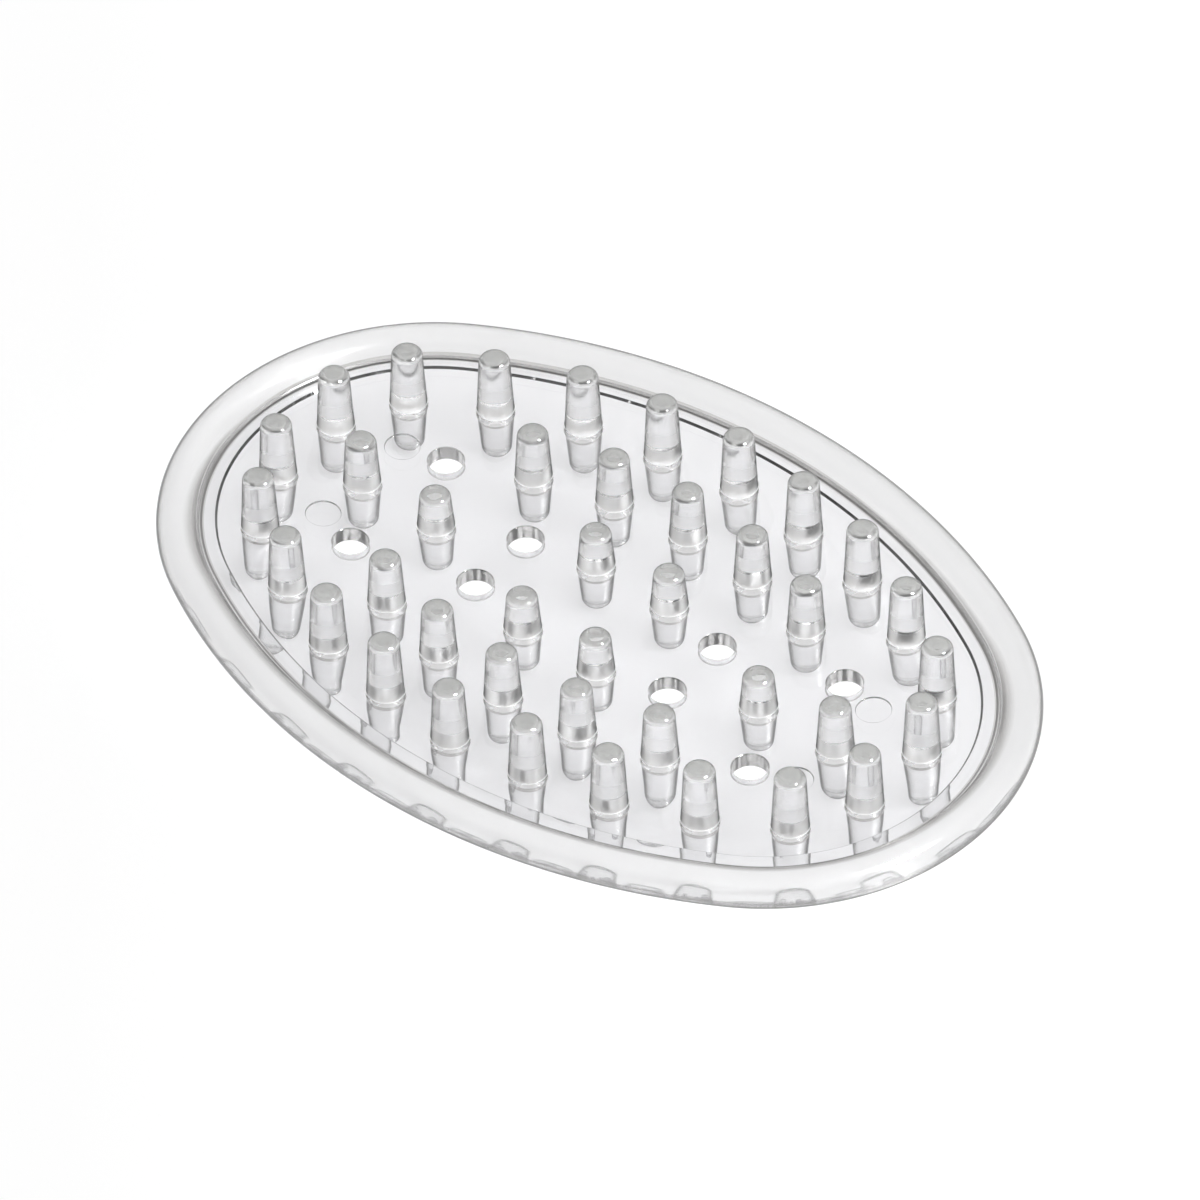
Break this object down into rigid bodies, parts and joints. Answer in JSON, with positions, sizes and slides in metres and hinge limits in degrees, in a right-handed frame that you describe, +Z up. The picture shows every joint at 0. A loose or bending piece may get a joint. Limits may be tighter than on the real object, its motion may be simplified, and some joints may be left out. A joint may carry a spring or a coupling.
{
  "type": "soap saver",
  "caption": "Oval tray of clear rigid plastic with a round rim, a dished deck with drain holes, short pegs that hold a bar of soap up to dry, and matching feet below.",
  "frame": {"origin": "centre of the tray on the surface that it stands on, in the plane of the feet's tips", "axes": "+X along the tray's length, +Y across it, +Z up"},
  "size_m": [0.1332, 0.0902, 0.0191],
  "materials": {
    "clear_plastic": "clear, glossy, injection moulded"
  },
  "bodies": {
    "root": {"deck": "clear_plastic", "rim": "clear_plastic", "pegs_outer": "clear_plastic", "pegs_middle": "clear_plastic", "pegs_inner": "clear_plastic", "feet_outer": "clear_plastic", "feet_middle": "clear_plastic", "feet_inner": "clear_plastic"}
  },
  "joints": []
}
